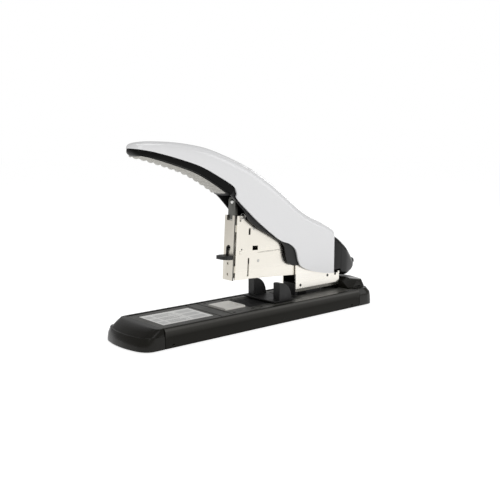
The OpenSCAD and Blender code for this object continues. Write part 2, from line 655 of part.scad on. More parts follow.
module driver_rivet() color([0.92, 0.92, 0.9]) in_head() translate([blade_x0 + 0.1, 0, driver_pin_at[1]]) {
    rotate([0, 90, 0]) cylinder(r = 1.2, h = neck_t + 1.2);
    intersection() {
        translate([2.3, 0, 0]) sphere(r = 3.4);
        box([-2, -4, -4], [-0.02, 4, 4]);
    }
    translate([-0.1, 0, 0]) rotate([0, 90, 0]) cylinder(r = 1.2, h = 1);
}

// ---------------------------------------------------------------- handle

// One section of a shell: the crowned outline and, inside it, the hollow's outline, whose height is scaled by f
function shell_ring(row, t, f) =
    let (out = crowned(row, 0, 0), hollow = crowned(row, t, 0), e = [row[0], 0, row[1]], n = len(hollow))
    concat(out, [for (k = [n - 1 : -1 : 0]) let (y = hollow[k][1], p = e + (hollow[k] - e) * f) [p[0], y, p[2]]]);

// A thin shell along the rows, solid at its tip and open underneath and at its last row
module swept_shell(rows, t, first) {
    fine = smooth(rows, 3);
    skin([for (i = [0 : len(fine) - 1]) shell_ring(fine[i], t, min(1, 0.2 + 0.2 * max(0, i - first)))]);
}

module handle_cover() color([0.86, 0.86, 0.87]) swept_shell(cover_rows, cover_t, 5);

// Black tub under the grip, open to the rear where the lever's cheeks come out
module handle_undershell() color([0.1, 0.1, 0.1]) swept_shell(undershell_rows, 1.8, 5);

// Lengthways curve of the tub's underside, from the tip's bend to just short of its rear end
pad_path = smooth([for (i = [2 : len(undershell_rows) - 2]) [undershell_rows[i][2], undershell_rows[i][3]]], 4);

// Soft pad along the tub's underside, with ribs across it
module grip_pad() color([0.58, 0.57, 0.54]) {
    n = len(pad_path) - 1;
    slab(-10.6, 10.6) polygon(concat([for (p = pad_path) p + [-0.5, -1.15]], [for (i = [n : -1 : 0]) pad_path[i] + [-0.03, -0.06]]));
    for (i = [1 : n - 1]) translate([pad_path[i][0] - 0.45, 10.2, pad_path[i][1] - 1]) rotate([90, 0, 0])
        cylinder(r = rib_h, h = 20.4, $fn = 16);
}

function crest_at_depth(depth) = [for (r = cover_rows)
    let (u = [r[0] - r[2], r[1] - r[3]] / norm([r[0] - r[2], r[1] - r[3]])) [r[2], r[3]] + u * depth];

channel_top = [for (p = crest_at_depth(channel_depth)) if (p[0] > -96 && p[0] < 104) p];

// Pressed steel lever: a channel over the head, with the lug that works the driver
module handle_channel() color([0.08, 0.08, 0.08]) difference() {
    union() {
        difference() {
            slab(-channel_y[1], channel_y[1]) channel_outline(0);
            slab(-channel_y[0], channel_y[0]) channel_outline(channel_t);
        }
        slab(-lug_half, lug_half) lug_outline();
    }
    cross_pin([pivot_x, pivot_z], pin_r + fit, 20);
}

module channel_outline(drop) {
    top = smooth(channel_top, 4);
    low = concat(cheek_edge, cheek_front, smooth(cheek_neck, 3), cheek_rear);
    n = len(top) - 1;
    base = concat(low, arc([pivot_x, pivot_z], 9, -45, 45, 8));
    if (drop == 0) polygon(concat(base, [for (i = [n : -1 : 0]) top[i]]));
    else polygon(concat([[-140, 60], [140, 20], [140, 80]], [for (i = [n : -1 : 0]) top[i] - [0, drop]], [[-140, 175]]));
}

module lug_outline() {
    pin = in_row(driver_pin_at);
    r = 3.4;
    difference() {
        union() {
            translate(pin) circle(r = r);
            polygon([pin - [r, 0], [pin[0] - 1.5, lug_top(pin[0] - 1.5)], [pin[0] + 14, lug_top(pin[0] + 14)], pin + [r, 0]]);
        }
        translate(pin) circle(r = driver_pin_r + 0.02);
    }
}

function lug_top(x) = lookup(x, [for (p = channel_top) [p[0], p[1]]]) - channel_t / 2;

// A point [x', z'] of the head's frame, in the row frame
function in_row(p) = [pivot_x + p[0] * cos(rest_tilt) + p[1] * sin(rest_tilt), pivot_z - p[0] * sin(rest_tilt) + p[1] * cos(rest_tilt)];

// Pin through the lever's lug, which runs in the driver's fork
module driver_pin() color([0.8, 0.8, 0.78]) cross_pin(in_row(driver_pin_at), driver_pin_r, fork_y[1] + 0.6);

// Torsion spring round the main pin, between the head plates
module handle_spring() color([0.7, 0.7, 0.68])
    translate([pivot_x, -5.5, pivot_z]) rotate([-90, 0, 0]) coil(5.6, 1.4, 11, 6);

// ---------------------------------------------------------------- magazine

module magazine_rail() color([0.8, 0.8, 0.78]) in_head() difference() {
    box([rail_x0, -rail_half, rail_bot], [rail_x1, rail_half, rail_top]);
    box([rail_x0 + 2, -rail_half + rail_t, rail_bot - eps], [rail_x1 + eps, rail_half - rail_t, rail_top - rail_t]);
    box([rail_x0 + 8, -1.7, rail_top - 4], [rail_x1 - 9, 1.7, rail_top + eps]);
    translate([rail_x0 - eps, 0, rod_z]) rotate([0, 90, 0]) cylinder(r = rod_r + 0.02, h = 4);
}

cap_rows = [
    [cap_front, -20.2, cap_front, 22, 12.3, 9],
    [22, -19.6, 22, 19.6, 12.3, 10],
    [29, -19.4, 29, 16, 12, 11],
    [31, -25, 31, 14.8, 11.9, 11.5],
    [40, -26.9, 40, 9.2, 10.9, 13],
    [47, -26.3, 47, 3.4, 9.2, 13],
    [53, -23.6, 53, -3, 7.4, 12],
    [57.4, -19.6, 57.4, -8.6, 5.8, 7],
    [59.6, -17, 59.6, -11, 4.4, 3.6]];

module magazine_end_cap() color([0.07, 0.07, 0.07]) in_head() difference() {
    skin([for (r = smooth(cap_rows, 3)) crowned(r, 0, 0)]);
    // room for the rail and the button's well
    box([cap_front - 1, -rail_half - 0.02, rail_bot - 0.02], [rail_x1 + 0.02, rail_half + 0.02, rail_top + 0.02]);
    translate([45, 0, button_z]) rotate([0, 90, 0]) cylinder(r = 4.2, h = 30);
    translate([24, 0, button_z]) rotate([0, 90, 0]) cylinder(r = 1.6, h = 30);
    translate([13, 0, rod_z]) rotate([0, 90, 0]) cylinder(r = rod_r + 0.02, h = 5);
}

button_z = -12;

module pusher_rod() color([0.7, 0.7, 0.7]) in_head()
    translate([rail_x0 + 0.5, 0, rod_z]) rotate([0, 90, 0]) cylinder(r = rod_r, h = 17 - rail_x0);

// Block that rides over the rail and pushes the staples; its bush slides on the rod
module staple_pusher() color([0.15, 0.15, 0.15]) in_head() difference() {
    union() {
        difference() {
            box([strip_x1 + 0.3, -staple_w / 2, rail_bot + 3], [strip_x1 + 0.3 + pusher_l, staple_w / 2, rail_top + 0.85]);
            box([strip_x1 - 1, -rail_half - 0.15, rail_bot], [strip_x1 + pusher_l + 2, rail_half + 0.15, rail_top + 0.15]);
        }
        box([strip_x1 + 2, -1.3, rod_z], [strip_x1 + pusher_l - 1, 1.3, rail_top + 0.5]);
        translate([strip_x1 + 1, 0, rod_z]) rotate([0, 90, 0]) cylinder(r = 3.2, h = pusher_l);
    }
    translate([strip_x1 - 2, 0, rod_z]) rotate([0, 90, 0]) cylinder(r = rod_r + fit, h = pusher_l + 6);
}

module pusher_spring() color([0.75, 0.75, 0.75]) in_head() {
    x0 = strip_x1 + pusher_l + 1.2;
    translate([x0, 0, rod_z]) rotate([0, 90, 0]) coil(2.6, 0.6, cap_front - 0.4 - x0, 22, 10, 5);
}

// A strip of glued staples astride the rail
module staple_strip() color([0.78, 0.78, 0.76]) in_head() difference() {
    top = rail_top + 0.05 + wire;
    box([rail_x0 + 0.3, -staple_w / 2, top - wire - staple_leg], [strip_x1, staple_w / 2, top]);
    box([rail_x0 - 1, -staple_w / 2 + wire, rail_bot - 5], [strip_x1 + 1, staple_w / 2 - wire, rail_top + 0.05]);
}

module release_button() color([0.1, 0.1, 0.1]) in_head() {
    translate([51, 0, button_z]) rotate([0, 90, 0]) cylinder(r = 3.9, h = 10.6);
    translate([36, 0, button_z]) rotate([0, 90, 0]) cylinder(r = 1.5, h = 15.1);
}

module button_spring() color([0.75, 0.75, 0.75]) in_head()
    translate([45.2, 0, button_z]) rotate([0, 90, 0]) coil(2.6, 0.6, 5.6, 4, 12, 5);

// ---------------------------------------------------------------- assembly

base_shell();
front_cap();
rear_cap();
deck_panel();
bottom_plate();
base_beam();
rubber_feet();
base_screws();
anvil_plate();
guide_track();
info_label();
paper_guide();
bracket_left();
bracket_right();
bracket_rivets();
stop_block();
main_pivot_pin();
pivot_clips();
head_lift_spring();
head_plate_left();
head_plate_right();
front_plate();
wire_clip();
head_rivets();
spring_seat();
jam_lever();
driver_blade();
driver_holder();
driver_fork();
driver_rivet();
driver_pin();
handle_cover();
handle_undershell();
handle_channel();
grip_pad();
handle_spring();
magazine_rail();
magazine_end_cap();
pusher_rod();
staple_pusher();
pusher_spring();
staple_strip();
release_button();
button_spring();
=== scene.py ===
import json
import math

import bmesh
import bpy
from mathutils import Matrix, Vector


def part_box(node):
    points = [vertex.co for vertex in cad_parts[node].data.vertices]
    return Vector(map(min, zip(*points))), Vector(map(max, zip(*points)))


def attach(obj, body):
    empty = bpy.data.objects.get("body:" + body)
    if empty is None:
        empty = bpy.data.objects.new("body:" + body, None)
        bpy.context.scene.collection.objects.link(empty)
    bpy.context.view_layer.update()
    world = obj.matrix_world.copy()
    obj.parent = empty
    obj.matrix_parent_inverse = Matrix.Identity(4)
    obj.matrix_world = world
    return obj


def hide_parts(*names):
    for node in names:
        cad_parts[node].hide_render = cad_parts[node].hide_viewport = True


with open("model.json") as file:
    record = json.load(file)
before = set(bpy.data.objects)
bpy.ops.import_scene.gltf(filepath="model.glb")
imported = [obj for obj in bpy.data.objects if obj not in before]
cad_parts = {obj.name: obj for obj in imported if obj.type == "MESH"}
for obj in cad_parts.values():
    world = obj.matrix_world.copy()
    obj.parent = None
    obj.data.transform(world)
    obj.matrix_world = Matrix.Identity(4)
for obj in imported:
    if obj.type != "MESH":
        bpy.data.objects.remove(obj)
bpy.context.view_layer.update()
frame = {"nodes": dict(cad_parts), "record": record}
NODES = frame["nodes"]
MM = 0.001


# ---------------------------------------------------------------- materials

COAT_ROUGHNESS = 0.08
EDGE_POINTINESS = (0.52, 0.62)
GRAIN_STRENGTH = 0.6
WAVE_STRENGTH = 0.5
SMUDGE_TO_CLOUD = 3.1


def new_material(name):
    mat = bpy.data.materials.new(name)
    mat.use_nodes = True
    nodes, links = mat.node_tree.nodes, mat.node_tree.links
    return mat, nodes, links, nodes["Principled BSDF"]


def noise(nodes, links, coords, scale, detail, rough=0.55, stretch=None):
    tex = nodes.new("ShaderNodeTexNoise")
    tex.inputs["Scale"].default_value = scale
    tex.inputs["Detail"].default_value = detail
    tex.inputs["Roughness"].default_value = rough
    source = coords.outputs["Object"]
    if stretch:
        mapping = nodes.new("ShaderNodeMapping")
        mapping.inputs["Scale"].default_value = stretch
        links.new(source, mapping.inputs["Vector"])
        source = mapping.outputs["Vector"]
    links.new(source, tex.inputs["Vector"])
    return tex.outputs["Fac"]


def spread(nodes, links, value, low, high, start=0.3, end=0.7):
    node = nodes.new("ShaderNodeMapRange")
    node.inputs["From Min"].default_value = start
    node.inputs["From Max"].default_value = end
    node.inputs["To Min"].default_value = low
    node.inputs["To Max"].default_value = high
    links.new(value, node.inputs["Value"])
    return node.outputs["Result"]


def surface(name, color, metallic, rough, vary, cloud, grain, stretch=None, coat=0.0, wear=0.0,
            wear_color=None, specular=None, wave=None):
    """Adds a worn, slightly uneven finish to MATS: cloudy colour, fine grain and rubbed edges.

    rough is the lowest and highest roughness, vary how far the colour drifts and cloud the scale of
    that drift. grain and wave are each a noise scale and a bump depth in metres. wear is how much of
    wear_color shows on the edges.
    """
    mat, nodes, links, shader = new_material(name)
    coords = nodes.new("ShaderNodeTexCoord")
    shader.inputs["Metallic"].default_value = metallic
    if coat:
        shader.inputs["Coat Weight"].default_value = coat
        shader.inputs["Coat Roughness"].default_value = COAT_ROUGHNESS
    if specular is not None:
        shader.inputs["Specular IOR Level"].default_value = specular
    clouds = noise(nodes, links, coords, cloud, 5.0)
    mix = nodes.new("ShaderNodeMix")
    mix.data_type = "RGBA"
    mix.inputs["A"].default_value = (*[max(0.0, c * (1 - vary)) for c in color], 1)
    mix.inputs["B"].default_value = (*[min(1.0, c * (1 + vary)) for c in color], 1)
    links.new(clouds, mix.inputs["Factor"])
    result = mix.outputs["Result"]
    if wear:
        geometry = nodes.new("ShaderNodeNewGeometry")
        edge = spread(nodes, links, geometry.outputs["Pointiness"], 0.0, wear, *EDGE_POINTINESS)
        worn = nodes.new("ShaderNodeMix")
        worn.data_type = "RGBA"
        worn.inputs["B"].default_value = (*(wear_color or [min(1.0, c * 1.6 + 0.04) for c in color]), 1)
        links.new(result, worn.inputs["A"])
        links.new(edge, worn.inputs["Factor"])
        result = worn.outputs["Result"]
    links.new(result, shader.inputs["Base Color"])
    smudge = noise(nodes, links, coords, cloud * SMUDGE_TO_CLOUD, 6.0, 0.6, stretch)
    links.new(spread(nodes, links, smudge, rough[0], rough[1]), shader.inputs["Roughness"])
    fine = noise(nodes, links, coords, grain[0], 3.0, 0.5, stretch)
    bump = nodes.new("ShaderNodeBump")
    bump.inputs["Strength"].default_value = GRAIN_STRENGTH
    bump.inputs["Distance"].default_value = grain[1]
    links.new(fine, bump.inputs["Height"])
    last = bump
    if wave:
        slow = noise(nodes, links, coords, wave[0], 2.0)
        sag = nodes.new("ShaderNodeBump")
        sag.inputs["Strength"].default_value = WAVE_STRENGTH
        sag.inputs["Distance"].default_value = wave[1]
        links.new(slow, sag.inputs["Height"])
        links.new(bump.outputs["Normal"], sag.inputs["Normal"])
        last = sag
    links.new(last.outputs["Normal"], shader.inputs["Normal"])
    MATS[name] = mat


def paint_light_and_shade(mat, value, start, end, keep):
    """Paints light or shade into mat: turns its base colour into the given colour as value, a function that
    makes a socket, runs from start to end.
    """
    nodes, links = mat.node_tree.nodes, mat.node_tree.links
    shader = nodes["Principled BSDF"]
    old = shader.inputs["Base Color"].links[0].from_socket
    mix = nodes.new("ShaderNodeMix")
    mix.data_type = "RGBA"
    mix.inputs["B"].default_value = (*keep, 1)
    links.new(old, mix.inputs["A"])
    links.new(spread(nodes, links, value(nodes, links), 0.0, 1.0, start, end), mix.inputs["Factor"])
    links.new(mix.outputs["Result"], shader.inputs["Base Color"])


def sideways(nodes, links):
    """How far a face looks across the part."""
    geometry = nodes.new("ShaderNodeNewGeometry")
    split = nodes.new("ShaderNodeSeparateXYZ")
    size = nodes.new("ShaderNodeMath")
    size.operation = "ABSOLUTE"
    links.new(geometry.outputs["True Normal"], split.inputs["Vector"])
    links.new(split.outputs["Y"], size.inputs[0])
    return size.outputs["Value"]


def slanted(nodes, links):
    """Highest on faces at 45 degrees, such as a rounded upper edge; zero on level and upright faces."""
    geometry = nodes.new("ShaderNodeNewGeometry")
    split = nodes.new("ShaderNodeSeparateXYZ")
    rest = nodes.new("ShaderNodeMath")
    rest.operation = "SUBTRACT"
    rest.inputs[0].default_value = 1.0
    both = nodes.new("ShaderNodeMath")
    both.operation = "MULTIPLY"
    links.new(geometry.outputs["Normal"], split.inputs["Vector"])
    links.new(split.outputs["Z"], rest.inputs[1])
    links.new(split.outputs["Z"], both.inputs[0])
    links.new(rest.outputs["Value"], both.inputs[1])
    return both.outputs["Value"]


def height(nodes, links):
    """How high a point is above the table, in metres."""
    coords = nodes.new("ShaderNodeTexCoord")
    split = nodes.new("ShaderNodeSeparateXYZ")
    links.new(coords.outputs["Object"], split.inputs["Vector"])
    return split.outputs["Z"]


# Stretch of the brushed grain: long along one axis.
ALONG_X = (0.06, 1.0, 1.0)
ALONG_Z = (1.0, 1.0, 0.06)
MATS = {}
surface("cover_white", color=(0.765, 0.765, 0.772), metallic=0.0, rough=(0.22, 0.27), vary=0.004,
        cloud=14.0, grain=(900.0, 0.000008), coat=0.4, wave=(60.0, 0.00002))
surface("base_dark", color=(0.0088, 0.0082, 0.0062), metallic=0.0, rough=(0.18, 0.28), vary=0.12,
        cloud=22.0, grain=(3200.0, 0.00002), wear=0.2, wear_color=(0.025, 0.025, 0.023), specular=0.08)
surface("cap_dark", color=(0.0088, 0.0082, 0.0062), metallic=0.0, rough=(0.14, 0.24), vary=0.12,
        cloud=22.0, grain=(3200.0, 0.00002), wear=0.2, wear_color=(0.025, 0.025, 0.022), specular=0.20)
surface("deck_grey", color=(0.037, 0.0360, 0.031), metallic=0.0, rough=(0.34, 0.50), vary=0.08,
        cloud=30.0, grain=(2600.0, 0.00005), wear=0.35)
surface("anvil_plate", color=(0.86, 0.84, 0.79), metallic=0.45, rough=(0.30, 0.42), vary=0.04,
        cloud=40.0, grain=(1500.0, 0.00001), wear=0.2, wear_color=(0.95, 0.93, 0.88))
surface("black_plastic", color=(0.006, 0.006, 0.006), metallic=0.0, rough=(0.32, 0.48), vary=0.15,
        cloud=35.0, grain=(2800.0, 0.00004), wear=0.3, wear_color=(0.04, 0.04, 0.04), specular=0.35)
surface("black_gloss", color=(0.0035, 0.0035, 0.0035), metallic=0.0, rough=(0.14, 0.22), vary=0.15,
        cloud=25.0, grain=(1200.0, 0.00001), specular=0.2, wave=(70.0, 0.00003))
surface("tub_gloss", color=(0.006, 0.006, 0.006), metallic=0.0, rough=(0.22, 0.32), vary=0.15,
        cloud=25.0, grain=(1200.0, 0.00001), specular=0.06)
surface("lever_paint", color=(0.006, 0.006, 0.006), metallic=0.0, rough=(0.30, 0.45), vary=0.15,
        cloud=30.0, grain=(1700.0, 0.00005), wear=0.4, wear_color=(0.06, 0.06, 0.06), specular=0.3)
surface("nickel", color=(0.81, 0.775, 0.70), metallic=1.0, rough=(0.22, 0.34), vary=0.03, cloud=18.0,
        grain=(1500.0, 0.00001), stretch=ALONG_X, wear=0.25, wear_color=(0.95, 0.93, 0.88),
        wave=(45.0, 0.00006))
surface("nickel_front", color=(0.68, 0.64, 0.565), metallic=1.0, rough=(0.24, 0.38), vary=0.04,
        cloud=25.0, grain=(1500.0, 0.00001), stretch=ALONG_Z, wear=0.25, wave=(45.0, 0.00006))
surface("steel", color=(0.55, 0.55, 0.53), metallic=1.0, rough=(0.28, 0.42), vary=0.05, cloud=40.0,
        grain=(1800.0, 0.00002), stretch=ALONG_X)
surface("dark_steel", color=(0.10, 0.10, 0.09), metallic=1.0, rough=(0.30, 0.45), vary=0.12,
        cloud=60.0, grain=(1800.0, 0.00002), wear=0.5, wear_color=(0.4, 0.4, 0.38))
surface("spring_steel", color=(0.50, 0.50, 0.48), metallic=1.0, rough=(0.22, 0.36), vary=0.06,
        cloud=90.0, grain=(2400.0, 0.00001))
surface("staple_wire", color=(0.70, 0.70, 0.68), metallic=1.0, rough=(0.22, 0.34), vary=0.05,
        cloud=80.0, grain=(2400.0, 0.00001))
surface("foot_rubber", color=(0.015, 0.015, 0.015), metallic=0.0, rough=(0.75, 0.9), vary=0.2,
        cloud=60.0, grain=(1500.0, 0.00010))
surface("grip_rubber", color=(0.40, 0.39, 0.36), metallic=0.0, rough=(0.50, 0.68), vary=0.05,
        cloud=40.0, grain=(2200.0, 0.00004), wear=0.35, wear_color=(0.55, 0.54, 0.50))
surface("label_film", color=(0.80, 0.80, 0.78), metallic=0.0, rough=(0.35, 0.50), vary=0.02,
        cloud=40.0, grain=(2600.0, 0.00001))
surface("label_ink", color=(0.34, 0.34, 0.34), metallic=0.0, rough=(0.40, 0.55), vary=0.06, cloud=90.0,
        grain=(2600.0, 0.00001))
surface("label_tint", color=(0.60, 0.60, 0.59), metallic=0.0, rough=(0.40, 0.55), vary=0.04,
        cloud=90.0, grain=(2600.0, 0.00001))
surface("bracket_nickel", color=(0.84, 0.81, 0.745), metallic=1.0, rough=(0.22, 0.34), vary=0.03,
        cloud=18.0, grain=(1500.0, 0.00001), stretch=ALONG_X, wear=0.25, wear_color=(0.95, 0.93, 0.88),
        wave=(45.0, 0.00006))

# Light and shade painted into three finishes, one per line below.
# Painted shade: the brackets' feet sink into a shaded gap, so below about 23 mm they are painted near
# black.
paint_light_and_shade(MATS["bracket_nickel"], height, 0.0235, 0.0230, (0.02, 0.02, 0.02))
# Painted highlight: the shell's rounded upper edge, where it catches the light, is painted pale.
paint_light_and_shade(MATS["base_dark"], slanted, 0.10, 0.22, (0.075, 0.073, 0.068))
# Painted shade: the cut edges of the front plate, which lie in shade, are painted dark.
paint_light_and_shade(MATS["nickel_front"], sideways, 0.8, 0.9, (0.10, 0.095, 0.085))
SLOTS = {s["node"]: s["material_slot"] for s in frame["record"]["subparts"]}


# ---------------------------------------------------------------- mesh helpers

# Metres: points this close are one, in new meshes and in the CAD meshes.
SAME_POINT = 1e-7
WELD_GAP = 2e-6
# Degrees: a fold that counts as flat, one that gets a bevel, and one that is shaded as an edge.
FLAT_ANGLE = 0.6
HARD_EDGE = 32.0
SHADED_EDGE = 30
# How square a crown is: 1 is a half circle, and less is boxier.
CROWN_POWER = 0.8


def finish_mesh(obj, slot, body, replaces=(), crease=35.0, finish=None):
    """Shades a new piece smooth up to crease degrees, paints it and lets it ride on its body."""
    for face in obj.data.polygons:
        face.use_smooth = True
    obj.data.set_sharp_from_angle(angle=math.radians(crease))
    obj.data.materials.append(MATS[finish or slot])
    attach(obj, body)
    if replaces:
        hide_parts(*replaces)


def make(name, verts, faces):
    """A closed mesh from points in millimetres."""
    mesh = bpy.data.meshes.new(name)
    mesh.from_pydata([Vector(v) * MM for v in verts], [], faces)
    bm = bmesh.new()
    bm.from_mesh(mesh)
    bmesh.ops.remove_doubles(bm, verts=bm.verts, dist=SAME_POINT)
    bmesh.ops.recalc_face_normals(bm, faces=bm.faces)
    bm.to_mesh(mesh)
    bm.free()
    obj = bpy.data.objects.new(name, mesh)
    bpy.context.scene.collection.objects.link(obj)
    return obj


def lid(n, base, flip):
    """Closes an arch of n points with faces between its two halves."""
    out = []
    for k in range(n // 2):
        a, b, c, d = k, k + 1, n - 2 - k, n - 1 - k
        face = [a, b, c, d] if b < c else [a, b, d] if b == c else None
        if face:
            out.append([base + i for i in (reversed(face) if flip else face)])
    return out


def skin(name, rings):
    """A closed tube through rings that all have the same number of points."""
    n = len(rings[0])
    verts = [p for r in rings for p in r]
    faces = [[i * n + k, i * n + (k + 1) % n, (i + 1) * n + (k + 1) % n, (i + 1) * n + k]
             for i in range(len(rings) - 1) for k in range(n)]
    faces += lid(n, 0, True) + lid(n, (len(rings) - 1) * n, False)
    return make(name, verts, faces)


def spline(a, b, c, d, t):
    """Catmull-Rom point between rows b and c."""
    return [(2 * q + (r - p) * t
             + (2 * p - 5 * q + 4 * r - s) * t * t
             + (3 * q - p - 3 * r + s) * t ** 3) / 2
            for p, q, r, s in zip(a, b, c, d)]


def smooth(rows, n):
    """The rows with n steps of a smooth curve between each two."""
    out = []
    last = len(rows) - 1
    for i in range(last):
        for k in range(n):
            out.append(spline(rows[max(i - 1, 0)], rows[i], rows[i + 1], rows[min(i + 2, last)], k / n))
    return out + [list(rows[-1])]


def bevel(obj, width):
    """Rounds the hard edges by width millimetres."""
    edge = obj.modifiers.new("edge", "BEVEL")
    edge.width = width * MM
    edge.segments = 2
    edge.limit_method = "ANGLE"
    edge.angle_limit = math.radians(HARD_EDGE)
    edge.use_clamp_overlap = True
    edge.harden_normals = True


def merge(obj):
    """Joins the doubled points and flat triangles of a CAD mesh, as modifiers."""
    weld = obj.modifiers.new("weld", "WELD")
    weld.merge_threshold = WELD_GAP
    flat = obj.modifiers.new("flat", "DECIMATE")
    flat.decimate_type = "DISSOLVE"
    flat.angle_limit = math.radians(FLAT_ANGLE)


def angle_shading(degrees):
    """Geometry nodes that drop the stored normals and shade smooth, save across edges over degrees."""
    group = bpy.data.node_groups.new("angle_shading", "GeometryNodeTree")
    group.interface.new_socket("Geometry", in_out="INPUT", socket_type="NodeSocketGeometry")
    group.interface.new_socket("Geometry", in_out="OUTPUT", socket_type="NodeSocketGeometry")
    nodes, links = group.nodes, group.links
    source = nodes.new("NodeGroupInput")
    result = nodes.new("NodeGroupOutput")
    drop = nodes.new("GeometryNodeRemoveAttribute")
    drop.inputs["Name"].default_value = "custom_normal"
    fold = nodes.new("GeometryNodeInputMeshEdgeAngle")
    sharp = nodes.new("FunctionNodeCompare")
    sharp.data_type = "FLOAT"
    sharp.operation = "GREATER_THAN"
    sharp.inputs["B"].default_value = math.radians(degrees)
    round_faces = nodes.new("GeometryNodeSetShadeSmooth")
    round_faces.domain = "FACE"
    round_faces.inputs["Shade Smooth"].default_value = True
    hard_edges = nodes.new("GeometryNodeSetShadeSmooth")
    hard_edges.domain = "EDGE"
    hard_edges.inputs["Shade Smooth"].default_value = False
    links.new(source.outputs["Geometry"], drop.inputs["Geometry"])
    links.new(drop.outputs["Geometry"], round_faces.inputs["Geometry"])
    links.new(fold.outputs["Unsigned Angle"], sharp.inputs["A"])
    links.new(sharp.outputs["Result"], hard_edges.inputs["Selection"])
    links.new(round_faces.outputs["Geometry"], hard_edges.inputs["Geometry"])
    links.new(hard_edges.outputs["Geometry"], result.inputs["Geometry"])
    return group


# ---------------------------------------------------------------- CAD nodes that stay

# Width of the rounded edge on each node, in millimetres.
BEVELS = {
    "base_shell": 0.5, "deck_panel": 0.25, "bottom_plate": 0.2, "base_beam": 0.3, "rubber_feet": 0.4,
    "base_screws": 0.12, "anvil_plate": 0.25, "guide_track": 0.15, "info_label": 0.02, "paper_guide": 0.45,
    "bracket_left": 0.22, "bracket_right": 0.22, "bracket_rivets": 0.25, "stop_block": 0.12,
    "main_pivot_pin": 0.4, "pivot_clips": 0.08, "head_plate_left": 0.2, "head_plate_right": 0.2,
    "front_plate": 0.25, "head_rivets": 0.12, "spring_seat": 0.3, "jam_lever": 0.35, "driver_blade": 0.1,
    "driver_holder": 0.35, "driver_fork": 0.15, "driver_rivet": 0.05, "driver_pin": 0.25,
    "handle_channel": 0.25, "magazine_rail": 0.2, "pusher_rod": 0.2, "staple_pusher": 0.2,
    "staple_strip": 0.1, "release_button": 0.5, "rear_cap": 0.5, "front_cap": 0.4,
}
# Nodes whose finish isn't the one that their material slot has.
FINISHES = {
    "bracket_left": "bracket_nickel", "bracket_right": "bracket_nickel",
    "anvil_plate": "anvil_plate", "bracket_rivets": "lever_paint",
}
SHADING = angle_shading(SHADED_EDGE)
for node, obj in NODES.items():
    # The CAD mesh itself is left alone: finish in the object's slots, everything else in modifiers.
    for slot in obj.material_slots:
        slot.link = "OBJECT"
        slot.material = MATS[FINISHES.get(node, SLOTS[node])]
    if node in BEVELS:
        merge(obj)
    obj.modifiers.new("shade", "NODES").node_group = SHADING
    if node in BEVELS:
        bevel(obj, BEVELS[node])


# ---------------------------------------------------------------- handle

# Half the handle's width. Each row of COVER and TUB is one section in millimetres: X and Z of its
# lower edge, X and Z of its crown, half width, and depth of the crown.
HW = 15.2
COVER = [
    [-146, 180.8, -146, 182.2, 1.2, 0.8],
    [-145, 180.6, -144.4, 184.4, 6.5, 2.5],
    [-140, 179.8, -138, 186.3, 11.5, 4.5],
    [-126, 177.2, -123, 187.2, HW - 1.2, 7],
    [-101, 171, -96, 186, HW - 0.2, 9.5],
    [-76, 163.4, -66, 181.6, HW, 11],
    [-54, 153, -40, 173.5, HW, 12],
    [-37, 143.6, -22, 166.6, HW, 12],
    [-32.4, 136.5, -13, 162.6, HW, 12],
    [-31.6, 130.5, -6, 159.5, HW, 12],
    [-15.3, 115.5, 14, 148.3, HW, 12],
    [1, 102.1, 33, 135.8, HW - 0.1, 12],
    [27, 84.2, 54, 121, HW - 0.3, 12],
    [42, 78.4, 67, 112.6, HW - 0.4, 12],
    [51, 71, 76, 108, HW - 0.5, 12],
    [55, 59, 82, 105.4, HW - 0.6, 12],
    [60, 52, 87, 103.4, HW - 0.6, 12],
    [76, 45.2, 95, 100, HW - 0.6, 11.5],
    [97, 40.4, 105, 95.2, HW - 0.6, 11],
    [112, 38.6, 112, 91, HW - 0.6, 11]]
TUB = [
    [-145.6, 180.5, -145.8, 179.2, 2, 0.8],
    [-144.2, 180.3, -145, 176.8, 7, 2],
    [-139, 179.3, -140.6, 173.6, 11, 3],
    [-126, 176.9, -128.4, 171.2, HW - 1.8, 3.5],
    [-101, 170.7, -104, 164.4, HW - 0.9, 3.5],
    [-76, 163.1, -79.4, 156.2, HW - 0.8, 3.5],
    [-54, 152.7, -58.2, 145.3, HW - 0.8, 3.5],
    [-38, 143.8, -43.4, 136.2, HW - 0.8, 3.5],
    [-34, 141.2, -40.2, 133.6, HW - 0.8, 3.5]]


def arch(row, inset, steps, factor=1.0):
    """Half-round crown over straight sides, from the left lower edge over to the right one."""
    ex, ez, cx, cz, w, crown = row
    h = math.hypot(cx - ex, cz - ez)
    ux, uz = (cx - ex) / h, (cz - ez) / h
    w = max(w - inset, 0.4 * w)
    top = max(h - inset, 0.4 * h)
    crown = min(crown, 0.85 * top)
    flat = [(-w, 0.0), (-w, 0.5 * (top - crown))]
    for i in range(steps + 1):
        a = math.pi * i / steps
        cosine = math.cos(a)
        side = -w * math.copysign(abs(cosine) ** CROWN_POWER, cosine)
        flat.append((side, top - crown + crown * max(math.sin(a), 0) ** CROWN_POWER))
    flat += [(w, 0.5 * (top - crown)), (w, 0.0)]
    return [(ex + ux * z * factor, y, ez + uz * z * factor) for y, z in flat]


def shell(name, rows, t, n, steps, start):
    """An open-bottomed shell of wall t through rows, with n steps between two rows.

    Its hollow has a fifth of its depth for the first start thirds of a row, and reaches the full
    depth over the next four thirds.
    """
    rings = []
    fine = smooth(rows, n)
    for i, row in enumerate(fine):
        factor = min(1.0, 0.2 + 0.2 * max(0.0, i * 3 / n - start))
        outer = arch(row, 0, steps)
        inner = arch(row, t, steps, factor)
        rings.append(outer + list(reversed(inner)))
    return skin(name, rings)


# Degrees: folds sharper than this on the handle's shells are rims.
RIM_ANGLE = 50


